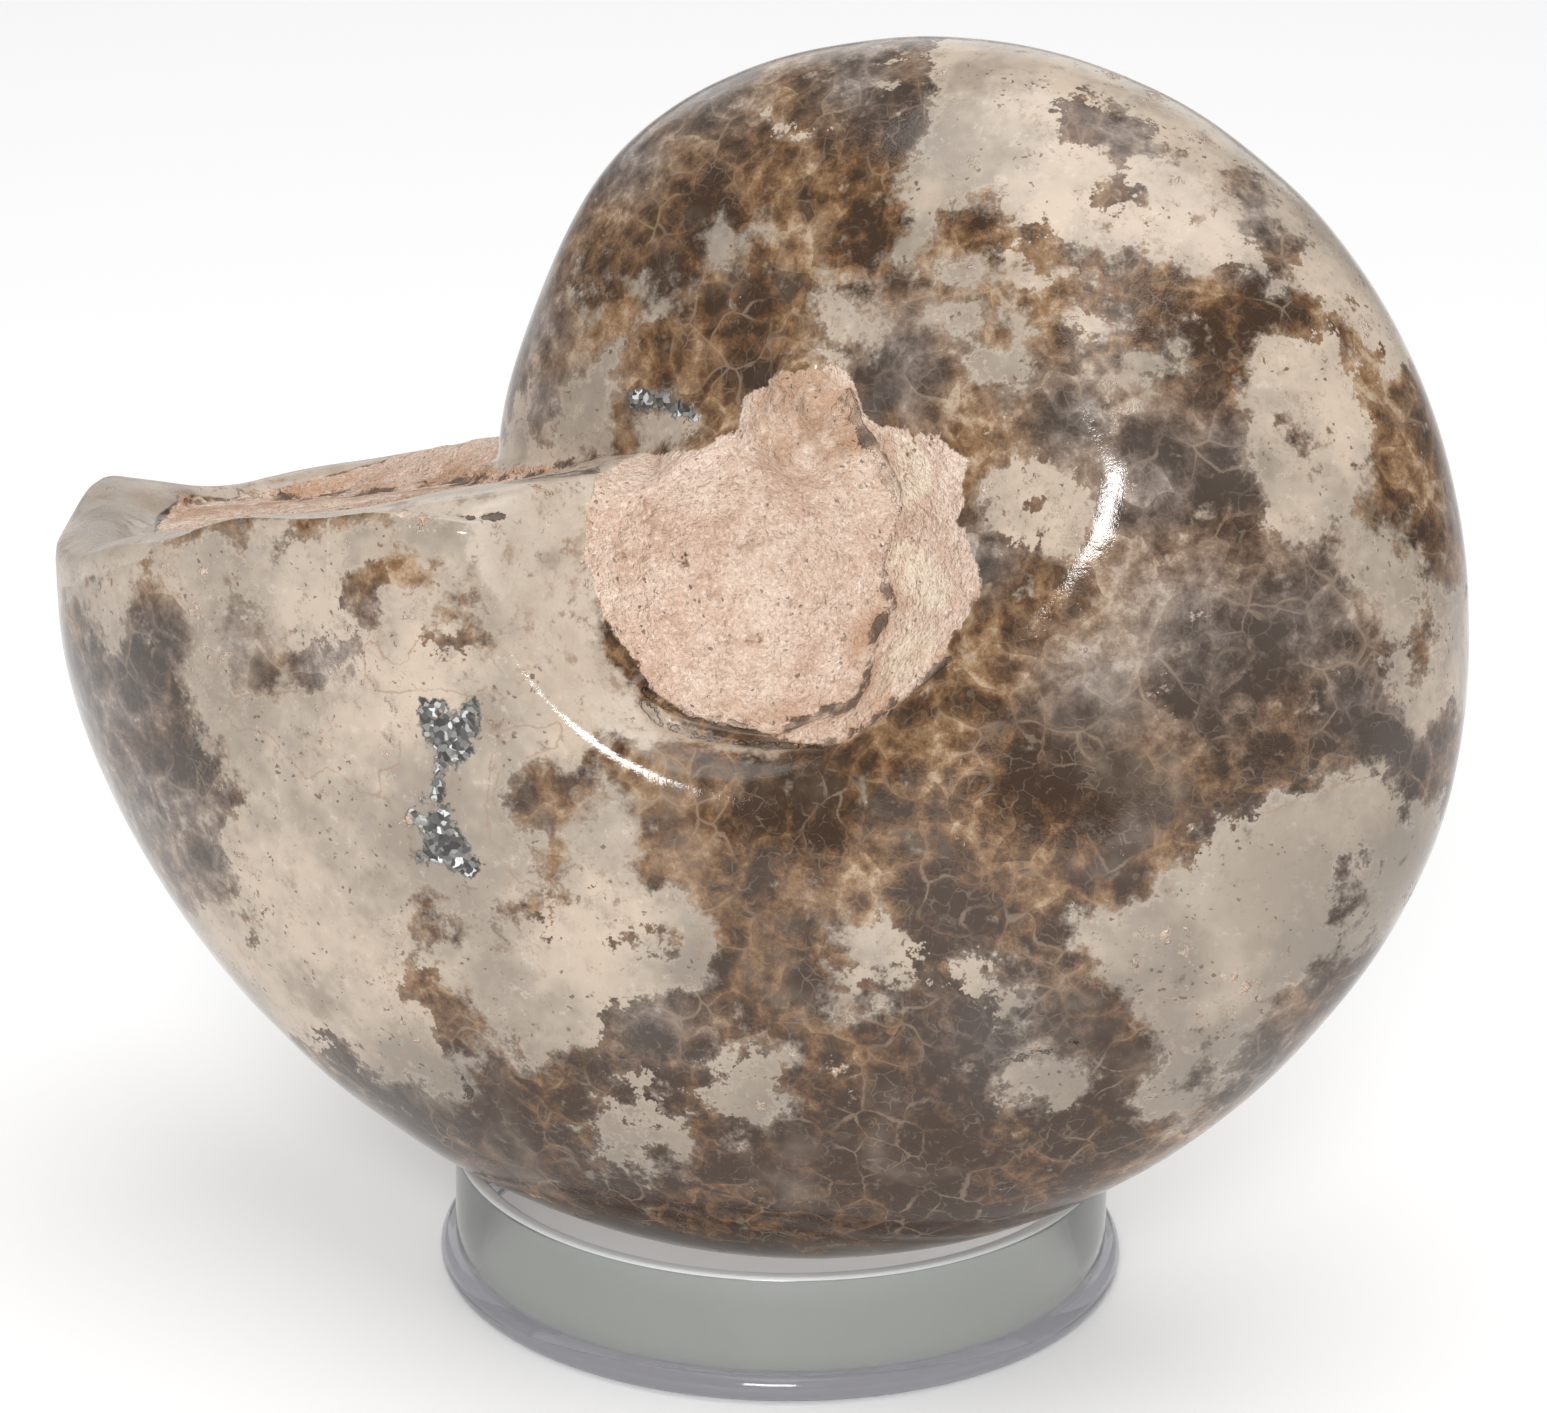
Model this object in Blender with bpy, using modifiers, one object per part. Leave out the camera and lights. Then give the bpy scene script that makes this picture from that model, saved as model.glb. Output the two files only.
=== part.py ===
"""A polished fossil ammonite of the Vascoceras kind, resting in a clear ring stand.

The ammonite is one stone: a coiled whorl whose radius shrinks by a fixed ratio each turn, cut
across its open end, with hard sediment left in the cut and in both umbilical hollows. Its mesh
is a sphere's grid moved onto the coil by the growth law. The stand is a turned ring with a round
bead at its foot. Metres, +Z up, with the origin under the middle of the whole object.
"""

import math

import bmesh
import bpy
from mathutils import Matrix, Vector, noise

# Growth law of the coil: radius of the back of the whorl, and how it shrinks
LIP_RADIUS = 0.0632
TURN_RATIO = 2.31
HALF_BREADTH = 0.443
UMBILICUS = 0.295

# Cut across the open end: its height over the coil's axis, and its slopes
CUT_HEIGHT = 0.00833
CUT_SLOPE_OUT = 0.136
CUT_SLOPE_SIDE = 0.074
CUT_RECESS = 0.0013

# Sediment dish in the near hollow: centre, radius, and the tilt of its rim
DISH_CENTRE = (0.0039, 0.0030, 0.0178)
DISH_RADIUS = 0.0090
DISH_TILT = (0.0025, 0.0014)
DISH_DEPTH = 0.0034
DISH_CRACK_DEPTH = 0.0009

# Sediment dish in the far hollow, which is nearly central
FAR_DISH_CENTRE = (0.0022, 0.0014, 0.0170)
FAR_DISH_RADIUS = 0.0086
FAR_DISH_TILT = (0.0018, 0.0008)
FAR_DISH_DEPTH = 0.0026

# How far each hollow's wall sags, as a share of its length
WALL_SAG = 0.12

# Where the wall of each hollow leaves its dish, in degrees along the coil
DISH_START = -25.0
DISH_SWEEP = 335.0

# How far the sediment laps over the smallest part of the whorl
LAP = 0.16
LAP_FROM = 0.6

# How the coil lies: centre over the stand's middle, then turn, lean and roll in degrees
COIL_OVER_STAND = (0.0058, -0.0032, 0.0574)
COIL_TURN = -19.8
COIL_LEAN = 13.9
COIL_ROLL = 5.8

# Grid of the stone: columns round the whorl and over the cut, and rows from side to side
WHORL_COLUMNS = 64
CUT_COLUMNS = 8
DISH_ROWS = 4
WALL_ROWS = 3
FLANK_ROWS = 30

# Broad swells and hollows: degrees along the coil, degrees across from its back, radius, height
SWELLS = (
    (0.0, 14.0, 0.0055, -0.0038),
    (5.0, 47.0, 0.0060, -0.0008),
    (0.0, 66.0, 0.0040, 0.0007),
    (6.0, 73.0, 0.0045, -0.0010),
    (2.0, 83.0, 0.0035, 0.0007),
    (152.0, 0.0, 0.0120, 0.0006),
    (300.0, -8.0, 0.0130, 0.0011),
    (326.0, 0.0, 0.0080, -0.0006),
)

# Rough lumps, as x, y, z, radius and height: the sediment's peak, and the knob on the lip
LUMPS = (
    (-0.0004, -0.0088, 0.0160, 0.0043, 0.0028),
    (0.0565, -0.0010, 0.0020, 0.0052, 0.0026),
)
LUMP_EDGE = 1.35
LUMP_RAGGEDNESS = 0.35
LUMP_GRAIN = 0.6
ROUGHNESS = 0.00035
ROUGHNESS_GRAIN = 0.0028

# Clear ring stand
STAND_RADIUS = 0.0249
STAND_HEIGHT = 0.0094
STAND_WALL = 0.0012
BEAD_HEIGHT = 0.0022
RIM_ROUND = 0.0004
ARC_STEPS = 5
STAND_SIDES = 72


def clear_scene():
    for obj in list(bpy.data.objects):
        bpy.data.objects.remove(obj)


def smooth_step(value):
    value = min(max(value, 0.0), 1.0)
    return value * value * (3.0 - 2.0 * value)


def polished_stone():
    material = bpy.data.materials.new("polished_stone")
    material.use_nodes = True
    shader = material.node_tree.nodes["Principled BSDF"]
    shader.inputs["Base Color"].default_value = (0.38, 0.29, 0.21, 1.0)
    shader.inputs["Roughness"].default_value = 0.2
    shader.inputs["Metallic"].default_value = 0.0
    return material


def clear_plastic():
    material = bpy.data.materials.new("clear_plastic")
    material.use_nodes = True
    shader = material.node_tree.nodes["Principled BSDF"]
    shader.inputs["Base Color"].default_value = (0.93, 0.94, 0.95, 1.0)
    shader.inputs["Roughness"].default_value = 0.05
    shader.inputs["Metallic"].default_value = 0.0
    shader.inputs["Transmission Weight"].default_value = 1.0
    shader.inputs["IOR"].default_value = 1.49
    return material


def whorl_point(angle, across):
    """Outside of the whorl: angle runs back from the open end, across runs from side to side."""
    size = LIP_RADIUS * TURN_RATIO ** (-angle / math.tau)
    out = size * (UMBILICUS + (1.0 - UMBILICUS) * math.cos(across))
    side = size * HALF_BREADTH * math.sin(across)
    return Vector((out * math.cos(angle), out * math.sin(angle), side))


def cut_angle(across, turn):
    """Angle near a whole number of turns at which the whorl meets the plane of the cut."""
    angle = turn * math.tau
    for _ in range(24):
        point = whorl_point(angle, across)
        height = -CUT_HEIGHT + CUT_SLOPE_OUT * point.x + CUT_SLOPE_SIDE * point.z
        reach = math.hypot(point.x, point.y)
        angle = turn * math.tau + math.asin(max(-0.9, min(0.9, height / reach)))
    return angle


def column_share(column):
    """Share of the way round the whorl, and share of the way back over the cut."""
    if column <= WHORL_COLUMNS:
        return column / WHORL_COLUMNS, 0.0
    return 1.0, (column - WHORL_COLUMNS) / CUT_COLUMNS


def shoulder_across(along):
    """How far across the whorl its sides reach, less where the sediment laps over them."""
    lap = LAP * smooth_step((along - LAP_FROM) / (1.0 - LAP_FROM))
    return math.acos(lap / (1.0 - UMBILICUS))


def flank_at(column, share):
    """Point of the outside, with share from 1 at the near shoulder to -1 at the far one."""
    along, over = column_share(column)
    across = share * shoulder_across(along)
    start = cut_angle(across, 0)
    end = cut_angle(across, 1)
    point = whorl_point(start + (end - start) * along, across)
    if over > 0.0:
        lip_across = share * shoulder_across(0.0)
        lip = whorl_point(cut_angle(lip_across, 0), lip_across)
        inside = math.sin(math.pi * over) ** 0.5 * (1.0 - abs(share) ** 3)
        point = point.lerp(lip, over) + Vector((0.0, CUT_RECESS * inside, 0.0))
    return point


def dish_at(column, ring, side):
    """Point of a sediment dish, with ring from 0 at its middle to 1 at its rim."""
    along, over = column_share(column)
    turn = math.radians(DISH_START + DISH_SWEEP * along + (360.0 - DISH_SWEEP) * over)
    near = side > 0
    centre = DISH_CENTRE if near else FAR_DISH_CENTRE
    radius = DISH_RADIUS if near else FAR_DISH_RADIUS
    tilt = DISH_TILT if near else FAR_DISH_TILT
    depth = DISH_DEPTH if near else FAR_DISH_DEPTH
    x = ring * math.cos(turn)
    y = ring * math.sin(turn)
    height = centre[2] + tilt[0] * x + tilt[1] * y - depth * (1.0 - ring * ring)
    if near and ring == 1.0:
        height -= DISH_CRACK_DEPTH * max(0.0, -math.cos(turn))
    return Vector((centre[0] + radius * x, centre[1] + radius * y, side * height))


def stone_point(column, row):
    """Point of the stone's grid, with row 0 in the middle of the near dish."""
    rows = 2 * (DISH_ROWS + WALL_ROWS) + FLANK_ROWS
    side = 1.0 if row <= rows // 2 else -1.0
    step = row if side > 0 else rows - row
    if step <= DISH_ROWS:
        return dish_at(column, step / DISH_ROWS, side)
    if step < DISH_ROWS + WALL_ROWS:
        foot = dish_at(column, 1.0, side)
        top = flank_at(column, side)
        share = (step - DISH_ROWS) / WALL_ROWS
        point = foot.lerp(top, share)
        sag = WALL_SAG * (top - foot).length * math.sin(math.pi * share)
        point.z -= side * sag
        return point
    share = 1.0 - 2.0 * (row - DISH_ROWS - WALL_ROWS) / FLANK_ROWS
    return flank_at(column, share)


def swell_height(point):
    height = 0.0
    for angle, across, radius, rise in SWELLS:
        centre = whorl_point(math.radians(angle), math.radians(across))
        height += rise * math.exp(-((point - centre).length / radius) ** 2)
    return height


def lump_height(point):
    height = 0.0
    for x, y, z, radius, rise in LUMPS:
        away = (point - Vector((x, y, z))).length / radius
        ragged = 1.0 + LUMP_RAGGEDNESS * noise.noise(point / (LUMP_GRAIN * radius))
        height += rise * smooth_step(LUMP_EDGE - away) * ragged
    return height


def make_ammonite(material, collection):
    """A sphere's grid moved onto the coil, then raised and roughened along its normals."""
    columns = WHORL_COLUMNS + CUT_COLUMNS
    rows = 2 * (DISH_ROWS + WALL_ROWS) + FLANK_ROWS
    bm = bmesh.new()
    bmesh.ops.create_uvsphere(bm, u_segments=columns, v_segments=rows, radius=1.0)
    sediment = {}
    for vert in bm.verts:
        turn = math.atan2(vert.co.y, vert.co.x) % math.tau
        column = round(turn / math.tau * columns) % columns
        row = round(math.acos(max(-1.0, min(1.0, vert.co.z))) / math.pi * rows)
        step = min(row, rows - row)
        in_cut = column > WHORL_COLUMNS and step > DISH_ROWS
        sediment[vert] = in_cut or step <= DISH_ROWS
        vert.co = stone_point(column, row)
    bm.normal_update()
    if bm.calc_volume(signed=True) < 0.0:
        bmesh.ops.reverse_faces(bm, faces=bm.faces)
        bm.normal_update()
    moved = {}
    for vert in bm.verts:
        height = swell_height(vert.co) + lump_height(vert.co)
        if sediment[vert]:
            height += ROUGHNESS * noise.noise(vert.co / ROUGHNESS_GRAIN)
        moved[vert] = vert.co + vert.normal * height
    for vert, place in moved.items():
        vert.co = place
    bmesh.ops.triangulate(bm, faces=bm.faces)
    mesh = bpy.data.meshes.new("ammonite")
    bm.to_mesh(mesh)
    bm.free()
    mesh.shade_smooth()
    mesh.materials.append(material)
    ammonite = bpy.data.objects.new("ammonite", mesh)
    collection.objects.link(ammonite)
    lying = Matrix(((-1, 0, 0), (0, 0, -1), (0, -1, 0)))
    turn = Matrix.Rotation(math.radians(COIL_TURN), 3, "Z")
    lean = Matrix.Rotation(math.radians(-COIL_LEAN), 3, "X")
    roll = Matrix.Rotation(math.radians(COIL_ROLL), 3, "Z")
    ammonite.rotation_euler = (turn @ lean @ lying @ roll).to_euler()
    ammonite.location = COIL_OVER_STAND
    return ammonite


def arc(x, z, radius, start, end):
    """Points of an arc in the profile's plane, with both ends, in degrees."""
    points = []
    for step in range(ARC_STEPS + 1):
        turn = math.radians(start + (end - start) * step / ARC_STEPS)
        points.append((x + radius * math.cos(turn), z + radius * math.sin(turn)))
    return points


def make_ring_stand(material, collection):
    """A wall with a rounded rim and a half-round bead at its foot, turned about the Z axis."""
    bead = BEAD_HEIGHT / 2
    wall_outer = STAND_RADIUS - bead
    wall_inner = wall_outer - STAND_WALL
    rim = STAND_HEIGHT - RIM_ROUND
    profile = arc(wall_inner + RIM_ROUND, rim, RIM_ROUND, 180, 90)
    profile += arc(wall_outer - RIM_ROUND, rim, RIM_ROUND, 90, 0)
    profile += arc(wall_outer, bead, bead, 90, -90)
    profile.append((wall_inner, 0.0))
    mesh = bpy.data.meshes.new("ring_stand")
    edges = [(i, (i + 1) % len(profile)) for i in range(len(profile))]
    mesh.from_pydata([(x, 0.0, z) for x, z in profile], edges, [])
    mesh.materials.append(material)
    stand = bpy.data.objects.new("ring_stand", mesh)
    collection.objects.link(stand)
    turned = stand.modifiers.new("turned", "SCREW")
    turned.steps = STAND_SIDES
    turned.render_steps = STAND_SIDES
    turned.use_merge_vertices = True
    turned.merge_threshold = 0.00001
    return stand


def centre_on_origin(objects):
    """Moves the whole object so that its origin is under the middle of its bounding box."""
    bpy.context.view_layer.update()
    graph = bpy.context.evaluated_depsgraph_get()
    corners = []
    for obj in objects:
        placed = obj.evaluated_get(graph)
        mesh = placed.to_mesh()
        corners += [placed.matrix_world @ vert.co for vert in mesh.vertices]
        placed.to_mesh_clear()
    low = [min(corner[axis] for corner in corners) for axis in range(3)]
    high = [max(corner[axis] for corner in corners) for axis in range(3)]
    shift = Vector(((low[0] + high[0]) / 2, (low[1] + high[1]) / 2, low[2]))
    for obj in objects:
        obj.location -= shift


clear_scene()
fossil_parts = bpy.data.collections.new("ammonite_on_stand")
bpy.context.scene.collection.children.link(fossil_parts)
centre_on_origin(
    [
        make_ammonite(polished_stone(), fossil_parts),
        make_ring_stand(clear_plastic(), fossil_parts),
    ]
)
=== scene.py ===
"""Looks of the polished fossil ammonite in its clear ring stand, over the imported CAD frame."""

import math

import bpy
import numpy as np
from mathutils import Matrix, Vector, noise


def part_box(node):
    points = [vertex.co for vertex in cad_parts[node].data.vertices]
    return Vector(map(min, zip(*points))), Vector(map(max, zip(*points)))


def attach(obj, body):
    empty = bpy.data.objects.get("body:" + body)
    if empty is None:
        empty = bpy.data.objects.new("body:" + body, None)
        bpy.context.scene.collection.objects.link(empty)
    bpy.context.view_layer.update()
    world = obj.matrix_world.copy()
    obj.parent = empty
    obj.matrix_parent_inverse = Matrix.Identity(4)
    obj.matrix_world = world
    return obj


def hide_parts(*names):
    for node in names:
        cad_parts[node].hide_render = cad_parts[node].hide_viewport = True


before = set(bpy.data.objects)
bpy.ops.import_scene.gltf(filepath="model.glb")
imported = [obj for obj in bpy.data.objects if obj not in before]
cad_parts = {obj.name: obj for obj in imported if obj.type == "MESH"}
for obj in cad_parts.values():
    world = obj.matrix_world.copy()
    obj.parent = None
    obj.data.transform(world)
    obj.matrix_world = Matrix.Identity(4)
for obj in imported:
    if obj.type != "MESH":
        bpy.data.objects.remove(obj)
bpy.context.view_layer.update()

# The photograph was taken from the front, a little above, with a long lens. The camera is placed
# from the middle of the stand's foot, and its frame is 1547 x 1413.
stand_low, stand_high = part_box("ring_stand")
STAND_MIDDLE = Vector(((stand_low[0] + stand_high[0]) / 2, (stand_low[1] + stand_high[1]) / 2, 0.0))
FRAME_SIZE = (1547, 1413)
SENSOR_WIDTH = 36.0
FOCAL_PIXELS = 6120.0
CAMERA_DISTANCE = 0.450
CAMERA_AIM = (0.000493, -0.040149)
CAMERA_TILT = 20.484
CAMERA_ROLL = 0.797

camera_turn = Matrix.Rotation(math.radians(90.0 - CAMERA_TILT), 3, "X")
camera_turn = camera_turn @ Matrix.Rotation(math.radians(CAMERA_ROLL), 3, "Z")
camera_right, camera_up, camera_back = camera_turn.col
camera_place = STAND_MIDDLE + camera_back * CAMERA_DISTANCE
camera_place = camera_place - camera_right * CAMERA_AIM[0] - camera_up * CAMERA_AIM[1]
camera = bpy.data.objects.new("photo_camera", bpy.data.cameras.new("photo_camera"))
camera.data.sensor_width = SENSOR_WIDTH
camera.data.lens = FOCAL_PIXELS * SENSOR_WIDTH / FRAME_SIZE[0]
camera.data.clip_start = 0.01
camera.location = camera_place
camera.rotation_euler = camera_turn.to_euler()
bpy.context.scene.collection.objects.link(camera)
bpy.context.scene.camera = camera

# Soft studio light: white all round, a large panel overhead, one behind, and a small window in
# front, over the camera, whose reflection gives the bright streaks on the polish.
WHITE = (1.0, 1.0, 1.0, 1.0)
sky = bpy.data.worlds.new("white_room")
sky.use_nodes = True
sky.node_tree.nodes["Background"].inputs["Color"].default_value = WHITE
sky.node_tree.nodes["Background"].inputs["Strength"].default_value = 0.40
bpy.context.scene.world = sky
bpy.context.scene.view_settings.view_transform = "Standard"


def add_panel(name, place, aim, width, height, power):
    light = bpy.data.lights.new(name, "AREA")
    light.shape = "RECTANGLE"
    light.size = width
    light.size_y = height
    light.energy = power
    panel = bpy.data.objects.new(name, light)
    panel.location = place
    panel.rotation_euler = (Vector(aim) - Vector(place)).to_track_quat("-Z", "Y").to_euler()
    bpy.context.scene.collection.objects.link(panel)
    return panel


add_panel("overhead_panel", (0.05, -0.05, 0.75), (0.0, 0.0, 0.04), 0.7, 0.6, 2.55)
window = add_panel("window", (-0.04, -0.80, 0.46), (0.0, 0.0, 0.05), 0.24, 0.22, 4.0)
window.visible_transmission = False
add_panel("back_panel", (0.0, 1.10, 0.45), (0.0, 0.0, 0.05), 1.2, 0.5, 1.5)

# Floor: the white table that the stand is on.
floor = bpy.data.objects.new("white_table", bpy.data.meshes.new("white_table"))
floor.data.from_pydata([(-3, -3, 0), (3, -3, 0), (3, 3, 0), (-3, 3, 0)], [], [(0, 1, 2, 3)])
floor_paint = bpy.data.materials.new("white_table")
floor_paint.use_nodes = True
floor_shader = floor_paint.node_tree.nodes["Principled BSDF"]
floor_shader.inputs["Base Color"].default_value = (0.95, 0.95, 0.95, 1.0)
floor_shader.inputs["Roughness"].default_value = 0.6
floor_shader.inputs["Emission Color"].default_value = WHITE
floor_shader.inputs["Emission Strength"].default_value = 0.16
floor.data.materials.append(floor_paint)
bpy.context.scene.collection.objects.link(floor)

# The fossil: a stone mould of a coiled shell, ground and polished outside. Brown calcite and cream
# limestone fill the old chambers, and hard matte sediment is left in the hollows and over the cut
# end. Its coil grows by a fixed ratio each turn, so Geometry Nodes place every point by that law.
LIP_RADIUS = 0.0632
TURN_RATIO = 2.31

# Half the breadth, and the radius of the hollow, as shares of the coil's radius
HALF_BREADTH = 0.443
UMBILICUS = 0.295

# The cut face at the lip: its height over the coil's middle, its slopes, how far its inside is
# sunk, where that starts and ends along the face, and where it ends at the near and far sides
CUT_HEIGHT = 0.00833
CUT_SLOPE_OUT = 0.136
CUT_SLOPE_SIDE = 0.074
CUT_RECESS = 0.0018
CUT_ROUNDS = 5
RECESS_START = (0.0, 0.12)
RECESS_END = (0.78, 0.90)
RECESS_NEAR = (0.70, 0.88)
RECESS_FAR = (0.42, 0.60)

# Rise and fall of the lip's rim: middle and width in degrees across, and height
RIM = (
    (-58.0, 20.0, -0.0010),
    (-30.0, 9.0, -0.0009),
    (-12.0, 9.0, 0.0021),
    (8.0, 12.0, -0.0005),
    (36.0, 15.0, -0.0021),
    (54.0, 6.0, -0.0008),
    (66.0, 5.0, 0.0004),
    (75.0, 6.0, -0.0005),
    (92.0, 9.0, -0.0024),
)
RIM_FADE = 5.0

# The floors of sediment in the two hollows, and the crack along one side of the near one
DISH = {"centre": (0.0039, 0.0030, 0.0178), "radius": 0.0090, "tilt": (0.0025, 0.0014), "depth": 0.0043}
FAR_DISH = {"centre": (0.0022, 0.0014, 0.0170), "radius": 0.0086, "tilt": (0.0018, 0.0008), "depth": 0.0026}
DISH_START = math.radians(-25.0)
DISH_SWEEP = math.radians(335.0)
DISH_CRACK_DEPTH = 0.0009
DISH_CRACK_RING = (0.72, 0.98)
WALL_SAG = 0.12

# How far the coil laps over its own older turn, and where along the turn that starts
LAP = 0.16
LAP_FROM = 0.6

# How the coil lies over the ring
COIL_OVER_STAND = Vector((0.0058, -0.0032, 0.0574))
COIL_TURN = -19.8
COIL_LEAN = 13.9
COIL_ROLL = 5.8

# The grid of the surface: columns round the coil and over the cut, rows from hollow to hollow
WHORL_COLUMNS = 384
CUT_COLUMNS = 60
DISH_ROWS = 22
WALL_ROWS = 13
FLANK_ROWS = 148
COLUMNS = WHORL_COLUMNS + CUT_COLUMNS
ROWS = 2 * (DISH_ROWS + WALL_ROWS) + FLANK_ROWS
MERGE_DISTANCE = 0.000001


class Wire:
    """A socket of a node tree. Maths on it adds the nodes that the maths needs."""

    def __init__(self, socket):
        self.socket = socket

    def node(self, kind, settings=None, sockets=None, output=0):
        tree = self.socket.id_data
        made = tree.nodes.new(kind)
        for name, value in (settings or {}).items():
            if name == "stops":
                while len(made.color_ramp.elements) < len(value):
                    made.color_ramp.elements.new(1.0)
                for element, (position, colour) in zip(made.color_ramp.elements, value):
                    element.position = position
                    element.color = (*colour, 1.0)
            else:
                setattr(made, name, value)
        for key, value in (sockets or {}).items():
            if isinstance(value, Wire):
                tree.links.new(value.socket, made.inputs[key])
            else:
                made.inputs[key].default_value = value
        return Wire(made.outputs[output])

    def maths(self, operation, *values):
        return self.node("ShaderNodeMath", {"operation": operation}, dict(enumerate((self, *values))))

    def __add__(self, other):
        return self.maths("ADD", other)

    def __sub__(self, other):
        return self.maths("SUBTRACT", other)

    def __mul__(self, other):
        return self.maths("MULTIPLY", other)

    def __truediv__(self, other):
        return self.maths("DIVIDE", other)

    def __pow__(self, other):
        return self.maths("POWER", other)

    def __rsub__(self, other):
        return self.node("ShaderNodeMath", {"operation": "SUBTRACT"}, {0: other, 1: self})

    def __rtruediv__(self, other):
        return self.node("ShaderNodeMath", {"operation": "DIVIDE"}, {0: other, 1: self})

    def __rpow__(self, other):
        return self.node("ShaderNodeMath", {"operation": "POWER"}, {0: other, 1: self})

    __radd__ = __add__
    __rmul__ = __mul__

    def clamp(self, low=0.0, high=1.0):
        return self.maths("MAXIMUM", low).maths("MINIMUM", high)

    def between(self, low, high):
        """0 below low, 1 above high, and a smooth step from one to the other."""
        return self.node(
            "ShaderNodeMapRange",
            {"interpolation_type": "SMOOTHSTEP"},
            {"Value": self, "From Min": low, "From Max": high},
        )

    def part(self, index):
        """One of the three numbers of a place."""
        return self.node("ShaderNodeSeparateXYZ", None, {0: self}, index)

    def ramp(self, *stops):
        """A colour for each value, with the stops' colours at their positions."""
        return self.node("ShaderNodeValToRGB", {"stops": stops}, {"Fac": self})

    def mix(self, colour, other):
        """The first colour where this wire is 0, and the other where it is 1."""
        first, second = ((*value, 1.0) if isinstance(value, tuple) else value for value in (colour, other))
        return self.node("ShaderNodeMix", {"data_type": "RGBA"}, {0: self, 6: first, 7: second}, 2)


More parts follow.
